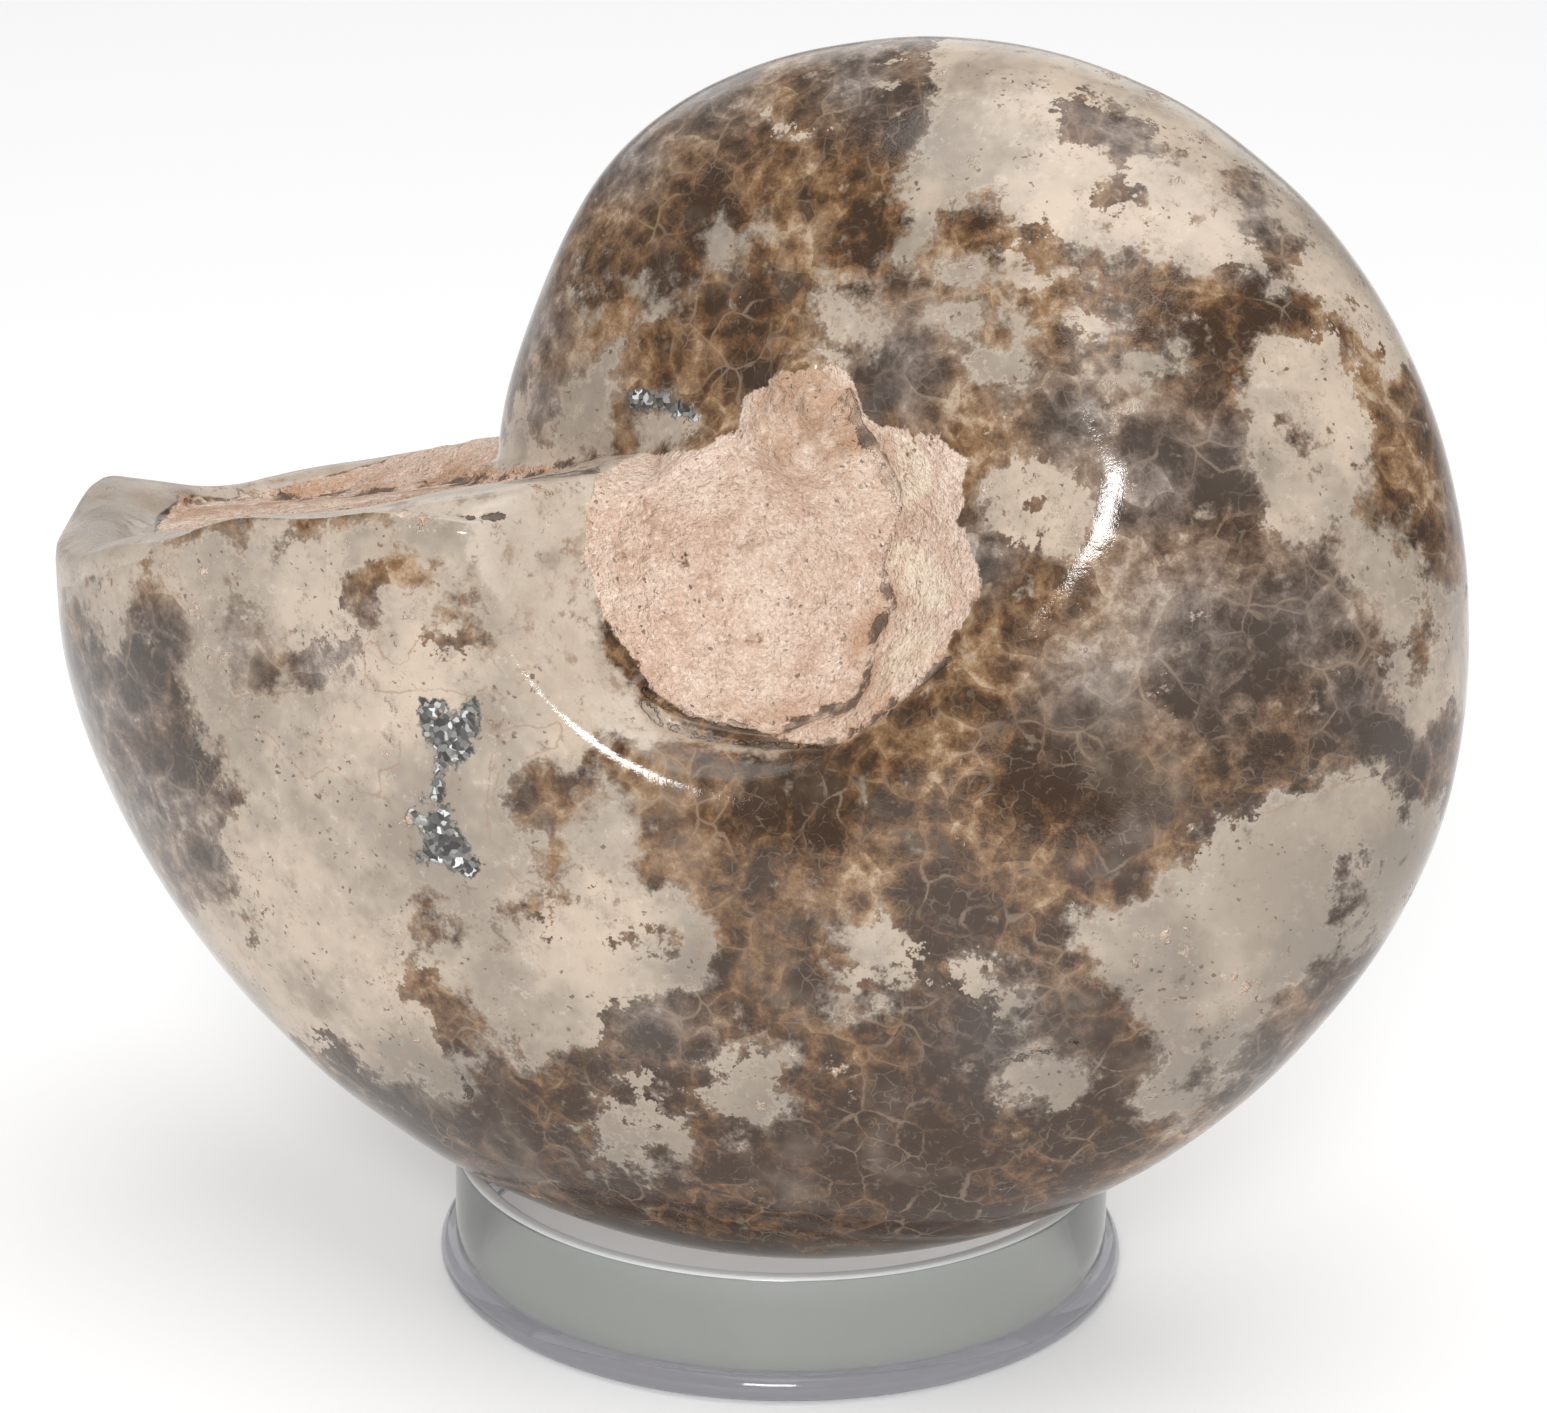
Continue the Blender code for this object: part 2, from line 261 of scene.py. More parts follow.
def coil_tree(material):
    """The stone's surface as a grid: columns run round the coil, rows from one hollow to the other."""
    tree = bpy.data.node_groups.new("coil_by_growth_law", "GeometryNodeTree")
    names = ("Lip radius", "Turn ratio", "Half breadth", "Umbilicus")
    names += ("Cut height", "Cut slope out", "Cut slope side", "Cut recess")
    for name in names:
        tree.interface.new_socket(name, in_out="INPUT", socket_type="NodeSocketFloat")
    tree.interface.new_socket("Stone", in_out="OUTPUT", socket_type="NodeSocketGeometry")
    sizes = tree.nodes.new("NodeGroupInput")
    lip_radius, turn_ratio, half_breadth, umbilicus, cut_height, slope_out, slope_side, recess = (
        Wire(sizes.outputs[name]) for name in names
    )
    grid = lip_radius.node(
        "GeometryNodeMeshGrid",
        None,
        {"Size X": COLUMNS, "Size Y": ROWS, "Vertices X": COLUMNS + 1, "Vertices Y": ROWS + 1},
    )
    spot = grid.node("GeometryNodeInputPosition")
    column = spot.part(0) + COLUMNS / 2
    row = spot.part(1) + ROWS / 2
    along = (column / WHORL_COLUMNS).clamp()
    over = ((column - WHORL_COLUMNS) / CUT_COLUMNS).clamp()
    side = (ROWS / 2 + 0.5 - row).maths("SIGN")
    step = row.maths("MINIMUM", ROWS - row)
    ring = (step / DISH_ROWS).clamp()
    wall = ((step - DISH_ROWS) / WALL_ROWS).clamp()
    share = (1.0 - 2.0 * (row - DISH_ROWS - WALL_ROWS) / FLANK_ROWS).clamp(-1.0, 1.0)

    def whorl(angle, across):
        size = lip_radius * turn_ratio ** (angle / -math.tau)
        out = size * (umbilicus + (1.0 - umbilicus) * across.maths("COSINE"))
        height = size * half_breadth * across.maths("SINE")
        return out * angle.maths("COSINE"), out * angle.maths("SINE"), height

    def cut_angle(across, turn, rise=0.0):
        """Angle along the coil at which the plane of the cut meets it, found step by step."""
        angle = across * 0.0 + turn * math.tau
        for _ in range(CUT_ROUNDS):
            x, y, z = whorl(angle, across)
            height = slope_out * x + slope_side * z - cut_height - rise
            angle = (height / (x * x + y * y) ** 0.5).maths("ARCSINE") + turn * math.tau
        return angle

    lap = LAP * ((along - LAP_FROM) / (1.0 - LAP_FROM)).between(0.0, 1.0)
    across = share * (lap / (1.0 - umbilicus)).maths("ARCCOSINE")
    lip_across = share * (math.pi / 2)
    rise = sum(
        height * (0.0 - ((lip_across - math.radians(middle)) / math.radians(width)) ** 2.0).maths("EXPONENT")
        for middle, width, height in RIM
    )
    start = cut_angle(across, 0, rise)
    outside = whorl(start + (cut_angle(across, 1) - start) * along, across)
    flat_lip = whorl(cut_angle(lip_across, 0), lip_across)
    lip = whorl(cut_angle(lip_across, 0, rise), lip_across)
    lip = [a + (b - a) * over ** RIM_FADE for a, b in zip(flat_lip, lip)]
    inside = over.between(*RECESS_START) * (1.0 - over.between(*RECESS_END))
    inside = inside * (1.0 - share.between(*RECESS_NEAR)) * (1.0 - (0.0 - share).between(*RECESS_FAR))
    flank = [a + (b - a) * over for a, b in zip(outside, lip)]
    flank[1] = flank[1] + recess * inside
    turn = DISH_START + DISH_SWEEP * along + (math.tau - DISH_SWEEP) * over
    near = side.maths("GREATER_THAN", 0.0)

    def either(key, index=None):
        pair = [dish[key] if index is None else dish[key][index] for dish in (FAR_DISH, DISH)]
        return pair[0] + (pair[1] - pair[0]) * near

    x, y = ring * turn.maths("COSINE"), ring * turn.maths("SINE")
    level = either("centre", 2) + either("tilt", 0) * x + either("tilt", 1) * y
    level = level - either("depth") * (1.0 - ring * ring)
    crack = DISH_CRACK_DEPTH * near * (0.0 - turn.maths("COSINE")).maths("MAXIMUM", 0.0)
    level = level - crack * ring.between(*DISH_CRACK_RING)
    foot_x = either("centre", 0) + either("radius") * x
    foot_y = either("centre", 1) + either("radius") * y
    foot = (foot_x, foot_y, side * level)
    length = sum((b - a) ** 2.0 for a, b in zip(foot, flank)) ** 0.5
    place = [a + (b - a) * wall for a, b in zip(foot, flank)]
    place[2] = place[2] - side * WALL_SAG * length * (wall * math.pi).maths("SINE")
    for name, value in (("column", column), ("step", step)):
        grid = grid.node(
            "GeometryNodeStoreNamedAttribute",
            {"data_type": "FLOAT", "domain": "POINT"},
            {"Geometry": grid, "Name": name, "Value": value},
        )
    position = grid.node("ShaderNodeCombineXYZ", None, dict(enumerate(place)))
    moved = grid.node("GeometryNodeSetPosition", None, {"Geometry": grid, "Position": position})
    closed = moved.node("GeometryNodeMergeByDistance", None, {"Geometry": moved, "Distance": MERGE_DISTANCE})
    real = closed.node("GeometryNodeRealizeInstances", None, {"Geometry": closed})
    dressed = real.node("GeometryNodeSetMaterial", None, {"Geometry": real, "Material": material})
    tree.links.new(dressed.socket, tree.nodes.new("NodeGroupOutput").inputs["Stone"])
    return tree


def whorl_point(degrees_along, degrees_across):
    """A point of the coil's outside, in numbers, by the same growth law."""
    angle = math.radians(degrees_along)
    across = math.radians(degrees_across)
    size = LIP_RADIUS * TURN_RATIO ** (-angle / math.tau)
    out = size * (UMBILICUS + (1.0 - UMBILICUS) * math.cos(across))
    return np.array((out * math.cos(angle), out * math.sin(angle), size * HALF_BREADTH * math.sin(across)))


# Easing of the shoulders: rounds in all, rounds that reach every point, rounds that reach the
# ridge near the lip too, how far each goes, and how many rows the ridge takes
EASE_ROUNDS = 60
EVERYWHERE_ROUNDS = 3
RIDGE_ROUNDS = 10
EASE_SHARE = 0.5
RIDGE_ROWS = 13.0

# The older coil, as a share of the turn, and the columns over which it fades before the cut
OLDER_FROM = 0.10
OLDER_FADE = 0.35
CUT_FADE_COLUMNS = 12.0

# Rows and columns over which the sediment blends into the polish
BLEND_STEPS = 3.0

# Broad swells and hollows of the outside: degrees along, degrees across, radius and height
SWELLS = (
    (152.0, 0.0, 0.0120, 0.0006),
    (300.0, -8.0, 0.0130, 0.0011),
    (326.0, 0.0, 0.0080, -0.0006),
    (10.0, 67.0, 0.0050, -0.0012),
    (8.0, 50.0, 0.0045, 0.0006),
    (7.0, 80.0, 0.0038, 0.0006),
    (232.0, 84.0, 0.0055, 0.0011),
)

# Crest of the shoulder round the near hollow, as degrees along and across
CREST = ((130.0, 88.0), (145.0, 86.0), (158.0, 83.0), (172.0, 78.0), (184.0, 72.0), (194.0, 68.0), (206.0, 68.0))
CREST_RADIUS = 0.0046
CREST_RISE = 0.0012

# The peak of rough sediment at the near hollow's edge
LUMP_PLACE = (-0.0004, -0.0088, 0.0160)
LUMP_RADIUS = 0.0043
LUMP_RISE = 0.0028
LUMP_EDGE = 1.35
LUMP_TOP = 1.15
LUMP_RAGGEDNESS = 0.35
LUMP_GRAIN = 0.6
LUMP_CRAGS = (0.0009, 0.0034)

# The lobe of stone that fills the lip's outer end, and the dent in the corner beside it
KNOB_PLACE = (0.0550, -0.0085, 0.0030)
KNOB_RADIUS = 0.0056
KNOB_RISE = 0.0029
DENT_PLACE = (0.0, 14.0)
DENT_RADIUS = 0.0085
DENT_DEPTH = 0.0021

# The smooth band along the lip: where it starts over the cut face, and at the far and near sides
BAND_OVER = 0.80
BAND_OVER_FADE = 0.08
BAND_FAR = 0.46
BAND_NEAR = 0.76
BAND_SIDE_FADE = 0.1

# Relief: coarse and fine grit of the sediment and waves of the polish, as height and size, and the
# grooves along the cracks
COARSE_GRIT = (0.00034, 0.0028)
FINE_GRIT = (0.00016, 0.0009)
POLISH_WAVES = (0.00010, 0.007)
GROOVE_DEPTH = 0.0004
GROOVE_REACH = 0.6
GROOVE_FADE = 0.8

# Patches on the side that the photograph shows, as outlines in its frame, right and down, and
# round spots as right, down and radius. A crack has its half width first.
CREAM = (
    ((60, 520), (90, 470), (160, 470), (222, 490), (205, 512), (160, 536), (138, 556), (128, 592), (128, 640),
     (108, 655), (92, 640), (84, 600), (66, 600)),
    ((150, 560), (200, 536), (260, 520), (330, 530), (420, 520), (500, 498), (600, 478), (592, 560),
     (596, 640), (622, 700), (650, 742), (600, 737), (602, 765), (622, 792), (641, 826), (634, 860),
     (645, 889), (690, 905), (712, 930), (712, 960), (686, 985), (640, 1000), (603, 1012), (590, 1042),
     (560, 1062), (524, 1066), (498, 1052), (470, 1062), (472, 1100), (440, 1102), (382, 1086), (345, 1052),
     (300, 1040), (286, 1066), (225, 1004), (165, 925), (206, 912), (245, 886), (224, 842), (232, 800),
     (214, 757), (190, 692), (205, 640), (190, 590)),
    ((930, 20), (1060, 30), (1160, 75), (1260, 140), (1330, 200), (1395, 290), (1420, 360), (1395, 365),
     (1352, 305), (1300, 297), (1262, 278), (1228, 262), (1190, 268), (1150, 256), (1105, 262), (1080, 248),
     (1050, 232), (1012, 228), (1000, 205), (985, 195), (945, 215), (925, 245), (905, 270), (900, 250),
     (908, 215), (900, 200), (920, 165), (935, 130)),
    ((1003, 308), (1030, 310), (1031, 330), (1010, 336), (1000, 322)),
    ((978, 346), (1010, 345), (1036, 356), (1028, 370), (1012, 390), (990, 384), (974, 365)),
    ((928, 300), (960, 295), (986, 300), (976, 325), (950, 331), (930, 318)),
    ((938, 272), (975, 257), (992, 275), (975, 291), (945, 286)),
    ((1010, 278), (1050, 262), (1080, 265), (1112, 268), (1090, 283), (1050, 286), (1020, 291)),
    ((1035, 466), (1062, 474), (1083, 498), (1085, 530), (1068, 556), (1035, 563), (1003, 552), (988, 525),
     (990, 492), (1008, 472)),
    ((1255, 340), (1290, 330), (1330, 340), (1346, 375), (1352, 402), (1362, 424), (1366, 452), (1377, 482),
     (1372, 507), (1400, 530), (1424, 560), (1450, 590), (1480, 600), (1480, 700), (1450, 715), (1425, 732),
     (1405, 735), (1395, 700), (1396, 660), (1386, 620), (1360, 592), (1340, 570), (1331, 545), (1300, 540),
     (1265, 531), (1250, 500), (1245, 460), (1250, 420), (1240, 388)),
    ((1150, 895), (1165, 868), (1195, 862), (1215, 845), (1228, 815), (1262, 803), (1300, 790), (1325, 772),
     (1370, 768), (1398, 780), (1406, 812), (1450, 800), (1440, 880), (1400, 925), (1340, 955), (1286, 985),
     (1258, 1012), (1250, 1050), (1232, 1070), (1210, 1092), (1182, 1112), (1150, 1122), (1140, 1100),
     (1150, 1080), (1164, 1050), (1150, 1020), (1138, 992), (1110, 985), (1090, 965), (1060, 950),
     (1080, 925), (1112, 918)),
    ((985, 1075), (1010, 1062), (1050, 1055), (1090, 1060), (1085, 1085), (1050, 1105), (1010, 1100),
     (985, 1092)),
    ((702, 225), (725, 220), (745, 222), (765, 215), (770, 230), (750, 240), (735, 263), (715, 259),
     (702, 240)),
    ((755, 113), (770, 118), (785, 128), (810, 129), (836, 122), (839, 136), (815, 143), (780, 141),
     (760, 127)),
    ((560, 402), (580, 370), (600, 350), (616, 345), (613, 370), (622, 395), (612, 420), (604, 452),
     (560, 470), (500, 480), (480, 470), (500, 430), (508, 390), (530, 380), (525, 420), (545, 440)),
    ((636, 412), (668, 405), (692, 418), (690, 446), (650, 452), (640, 436)),
)
CREAM_SPOTS = (
    (872, 965, 34), (975, 965, 30), (1000, 990, 16), (745, 1080, 30), (640, 1132, 38), (1065, 115, 10),
    (850, 315, 26), (880, 82, 18), (1145, 360, 16), (1105, 330, 14), (585, 285, 16), (655, 300, 10),
    (1010, 250, 10),
)
BROWN = (
    ((143, 505), (160, 486), (190, 484), (212, 494), (196, 510), (172, 522), (156, 530), (142, 522)),
    ((94, 540), (103, 532), (108, 552), (100, 562)),
    ((66, 520), (84, 494), (116, 484), (140, 492), (128, 512), (110, 522), (92, 530), (76, 560), (66, 590),
     (58, 560)),
    ((92, 580), (108, 575), (112, 584), (96, 590)),
    ((362, 562), (375, 545), (410, 540), (420, 558), (434, 570), (432, 593), (410, 596), (398, 590),
     (385, 600), (386, 620), (372, 640), (350, 642), (345, 605), (350, 580)),
    ((295, 655), (320, 635), (360, 632), (366, 660), (350, 686), (320, 692), (290, 675), (270, 702),
     (240, 704), (225, 690), (212, 662), (220, 605), (240, 598), (262, 620), (265, 640), (285, 640)),
    ((143, 610), (150, 560), (162, 600), (185, 610), (192, 650), (176, 702), (160, 692), (150, 670),
     (127, 650), (130, 620)),
    ((1062, 112), (1085, 100), (1120, 108), (1150, 124), (1160, 138), (1190, 143), (1180, 158), (1140, 156),
     (1100, 150), (1080, 140), (1062, 128)),
    ((1212, 175), (1240, 163), (1266, 180), (1272, 205), (1297, 240), (1302, 262), (1275, 266), (1250, 240),
     (1240, 215), (1225, 195)),
    ((1338, 373), (1355, 368), (1367, 388), (1380, 410), (1366, 420), (1350, 397)),
    ((1364, 430), (1390, 428), (1410, 468), (1421, 500), (1434, 540), (1421, 548), (1400, 522), (1384, 490),
     (1369, 460)),
    ((1419, 608), (1433, 625), (1434, 670), (1418, 677), (1414, 640)),
    ((520, 772), (532, 764), (556, 752), (562, 768), (602, 768), (600, 798), (562, 828), (572, 858),
     (566, 882), (550, 868), (545, 832), (520, 822), (510, 800)),
    ((400, 968), (440, 972), (462, 990), (482, 1012), (490, 1042), (470, 1064), (440, 1042), (424, 1012),
     (400, 1002)),
    ((412, 905), (446, 914), (456, 930), (432, 946), (404, 930)),
    ((1354, 850), (1373, 858), (1366, 890), (1351, 911), (1340, 932), (1334, 924), (1344, 888)),
    ((1228, 1012), (1215, 1040), (1208, 1070), (1196, 1097), (1180, 1086), (1196, 1070), (1204, 1040),
     (1218, 1015)),
)
BROWN_SPOTS = (
    (500, 912, 9), (250, 917, 6), (508, 1026, 9), (452, 603, 7), (556, 868, 12), (540, 910, 8),
    (1035, 510, 15), (395, 690, 9), (1115, 200, 16), (648, 944, 12), (235, 530, 14), (470, 640, 10),
    (440, 640, 10), (1215, 210, 8), (322, 745, 8), (1300, 440, 9),
)
SEDIMENT = (
    ((596, 474), (640, 455), (700, 449), (738, 428), (744, 398), (770, 379), (800, 371), (836, 368),
     (853, 381), (858, 412), (875, 424), (902, 424), (938, 436), (964, 462), (962, 505), (956, 524),
     (976, 562), (980, 590), (962, 622), (942, 655), (916, 684), (880, 716), (842, 740), (790, 738),
     (740, 724), (690, 712), (650, 684), (620, 645), (600, 604), (590, 560), (588, 510)),
)
SLOPE = (
    ((470, 520), (600, 480), (594, 560), (604, 640), (640, 700), (700, 728), (790, 748), (760, 760),
     (650, 742), (600, 735), (560, 690), (500, 610), (462, 560)),
)
CRACKS = (
    (5.0, (846, 396), (856, 425), (874, 452), (889, 480), (896, 512), (888, 540), (876, 565), (884, 590),
     (890, 604), (878, 622), (868, 650), (862, 678), (848, 702), (818, 713)),
    (3.0, (818, 713), (780, 726), (740, 724), (700, 714), (668, 704), (648, 690)),
    (3.0, (644, 700), (662, 722), (700, 734), (760, 742), (820, 742), (862, 726), (890, 700), (918, 680),
     (946, 656)),
    (2.0, (440, 508), (470, 514), (506, 517)),
    (2.5, (190, 500), (250, 492), (300, 494), (380, 487), (460, 478), (520, 474), (600, 466)),
    (2.0, (455, 1072), (464, 1088), (472, 1100)),
    (2.0, (985, 1075), (1010, 1062), (1050, 1055), (1075, 1045)),
)
KNOB = (
    ((40, 460), (120, 460), (160, 484), (182, 498), (160, 520), (150, 560), (40, 600)),
)
SUTURES = (
    ((364, 648), (372, 640), (384, 660), (405, 666), (414, 645), (428, 626), (452, 620), (474, 630),
     (486, 650), (500, 672), (520, 682), (516, 700), (440, 690), (380, 690), (366, 670)),
    ((222, 715), (240, 730), (265, 730), (285, 755), (308, 778), (325, 765), (345, 775), (362, 790),
     (382, 800), (378, 770), (400, 762), (396, 735), (372, 728), (352, 700), (300, 690), (240, 700)),
    ((502, 735), (520, 728), (560, 722), (560, 745), (520, 760), (498, 770), (494, 800), (506, 832),
     (530, 846), (546, 870), (552, 890), (520, 880), (490, 850), (486, 800), (492, 760)),
    ((210, 745), (232, 740), (228, 770), (214, 790), (205, 770)),
    ((1160, 300), (1190, 290), (1210, 305), (1236, 300), (1250, 330), (1230, 345), (1200, 335), (1175, 345)),
    ((1110, 880), (1150, 850), (1190, 845), (1204, 820), (1240, 790), (1290, 775), (1330, 752), (1390, 745),
     (1420, 760), (1380, 775), (1320, 790), (1260, 815), (1220, 850), (1180, 880), (1130, 905)),
)
BAND = (
    ((893, 425), (912, 424), (934, 452), (938, 480), (926, 502), (908, 520), (895, 512), (890, 470)),
    ((888, 545), (905, 536), (930, 560), (950, 590), (940, 610), (915, 600), (892, 585)),
    ((905, 640), (930, 630), (935, 650), (905, 680), (880, 700), (872, 680)),
)
CRYSTALS = (
    ((418, 700), (446, 699), (451, 720), (476, 699), (472, 760), (447, 766), (441, 800), (432, 790),
     (435, 750), (420, 722)),
    ((414, 812), (450, 803), (456, 835), (486, 865), (470, 882), (440, 870), (410, 862), (426, 840)),
    ((622, 384), (650, 392), (690, 404), (694, 418), (664, 412), (640, 416), (626, 402)),
)
# Darker spots, partly darker stone and partly painted shade: the large ones low down darken the stone towards the
# bottom, where less light comes up from the floor, and small ones paint shade at the edges of the knob and the lump.
DARK_AND_SHADE_SPOTS = (
    (600, 1170, 130), (780, 1190, 120), (950, 1180, 120), (1080, 1120, 100), (450, 1110, 80), (1400, 840, 60),
    (1180, 960, 60), (1340, 960, 60), (1290, 880, 110), (1200, 1060, 60), (110, 506, 44), (1250, 640, 60),
    (900, 1100, 120), (760, 1120, 80), (180, 500, 20), (1380, 660, 30), (1370, 720, 34), (1352, 640, 16),
    (1180, 350, 46), (1255, 290, 28), (1285, 305, 18), (905, 130, 42), (880, 235, 36), (870, 390, 34),
    (665, 280, 34), (710, 215, 40), (700, 700, 20), (590, 1080, 40), (500, 1110, 60), (620, 1180, 60),
    (760, 1190, 60), (870, 1160, 60), (930, 1090, 44), (1000, 1030, 50), (1060, 1025, 30), (820, 990, 24),
    (1120, 990, 24), (800, 800, 70), (1050, 770, 60), (1100, 800, 60), (1110, 870, 40), (950, 900, 50),
    (700, 960, 40), (1080, 1090, 30), (1200, 700, 40), (770, 1125, 16), (1230, 480, 40), (1060, 420, 30),
    (1150, 440, 30), (550, 560, 10), (190, 760, 30), (160, 650, 30), (750, 300, 40), (750, 370, 24),
)
# Greyer spots, partly greyer calcite and partly painted sheen: the grey haze that reflection lays over the polish,
# much of it round the bright streaks and along the edges.
GREY_AND_SHEEN_SPOTS = (
    (1150, 470, 90), (1080, 420, 60), (1230, 460, 60), (1200, 640, 110), (1300, 620, 90), (1350, 700, 60),
    (1100, 690, 70), (110, 700, 80), (160, 800, 80), (210, 860, 50), (230, 650, 60), (330, 660, 50),
    (160, 640, 50), (980, 560, 40), (900, 360, 60), (1000, 1040, 70), (1260, 210, 50), (860, 80, 50),
    (530, 330, 40), (540, 400, 40), (650, 1020, 50), (380, 1100, 80), (1250, 1060, 60), (1400, 740, 50),
    (1000, 60, 90), (1150, 110, 60), (700, 80, 60), (620, 150, 50),
)

# One step of a patch's depth, in the frame's units, how deep a patch can be, and how the traced
# patches fade where the surface turns away from the camera
PATCH_STEP = 13.6
PATCH_DEPTH = 4.0
SHOWN_FADE = 0.35


def in_frame(points):
    """Where points of the model fall in the photograph's frame, right and down."""
    away = points - np.array(camera_place)
    depth = -away @ np.array(camera_back)
    right = FRAME_SIZE[0] / 2 + FOCAL_PIXELS * (away @ np.array(camera_right)) / depth
    down = FRAME_SIZE[1] / 2 - FOCAL_PIXELS * (away @ np.array(camera_up)) / depth
    return np.stack((right, down), axis=1)


def from_line(points, start, end):
    """Distance of each point from a straight piece of line."""
    share = np.clip((points - start) @ (end - start) / ((end - start) @ (end - start)), 0.0, 1.0)
    return np.linalg.norm(points - start - share[:, None] * (end - start), axis=1)


def inside_outline(places, outline):
    """Distance inside an outline, in the frame's units, and less than zero outside it."""
    inside = np.zeros(len(places), bool)
    nearest = np.full(len(places), np.inf)
    corners = np.array(outline, float)
    for a, b in zip(corners, np.roll(corners, -1, axis=0)):
        edge = b - a
        nearest = np.minimum(nearest, from_line(places, a, b))
        crosses = (a[1] > places[:, 1]) != (b[1] > places[:, 1])
        if a[1] != b[1]:
            inside ^= crosses & (places[:, 0] < a[0] + (places[:, 1] - a[1]) * edge[0] / edge[1])
    return np.where(inside, nearest, -nearest)


def smooth_step(value):
    value = np.clip(value, 0.0, 1.0)
    return value * value * (3.0 - 2.0 * value)


def bulge(points, place, radius, rise):
    """Height of a round swelling over each point, which fades out past its radius."""
    away = np.linalg.norm(points - np.array(place), axis=1)
    return rise * np.exp(-((away / radius) ** 2))


def field(points, grain, seed=0.0):
    """Smooth noise from -1 to 1, whose lumps are about one grain across."""
    shift = Vector((seed, seed * 1.7, seed * 2.3))
    return np.array([noise.noise(Vector(point) / grain + shift) for point in points])


def ragged(points, grain, seed=0.0):
    """Noise of several sizes at once, for broken stone."""
    shift = Vector((seed, seed * 1.7, seed * 2.3))
    return np.array([noise.fractal(Vector(point) / grain + shift, 0.9, 2.1, 4) for point in points])


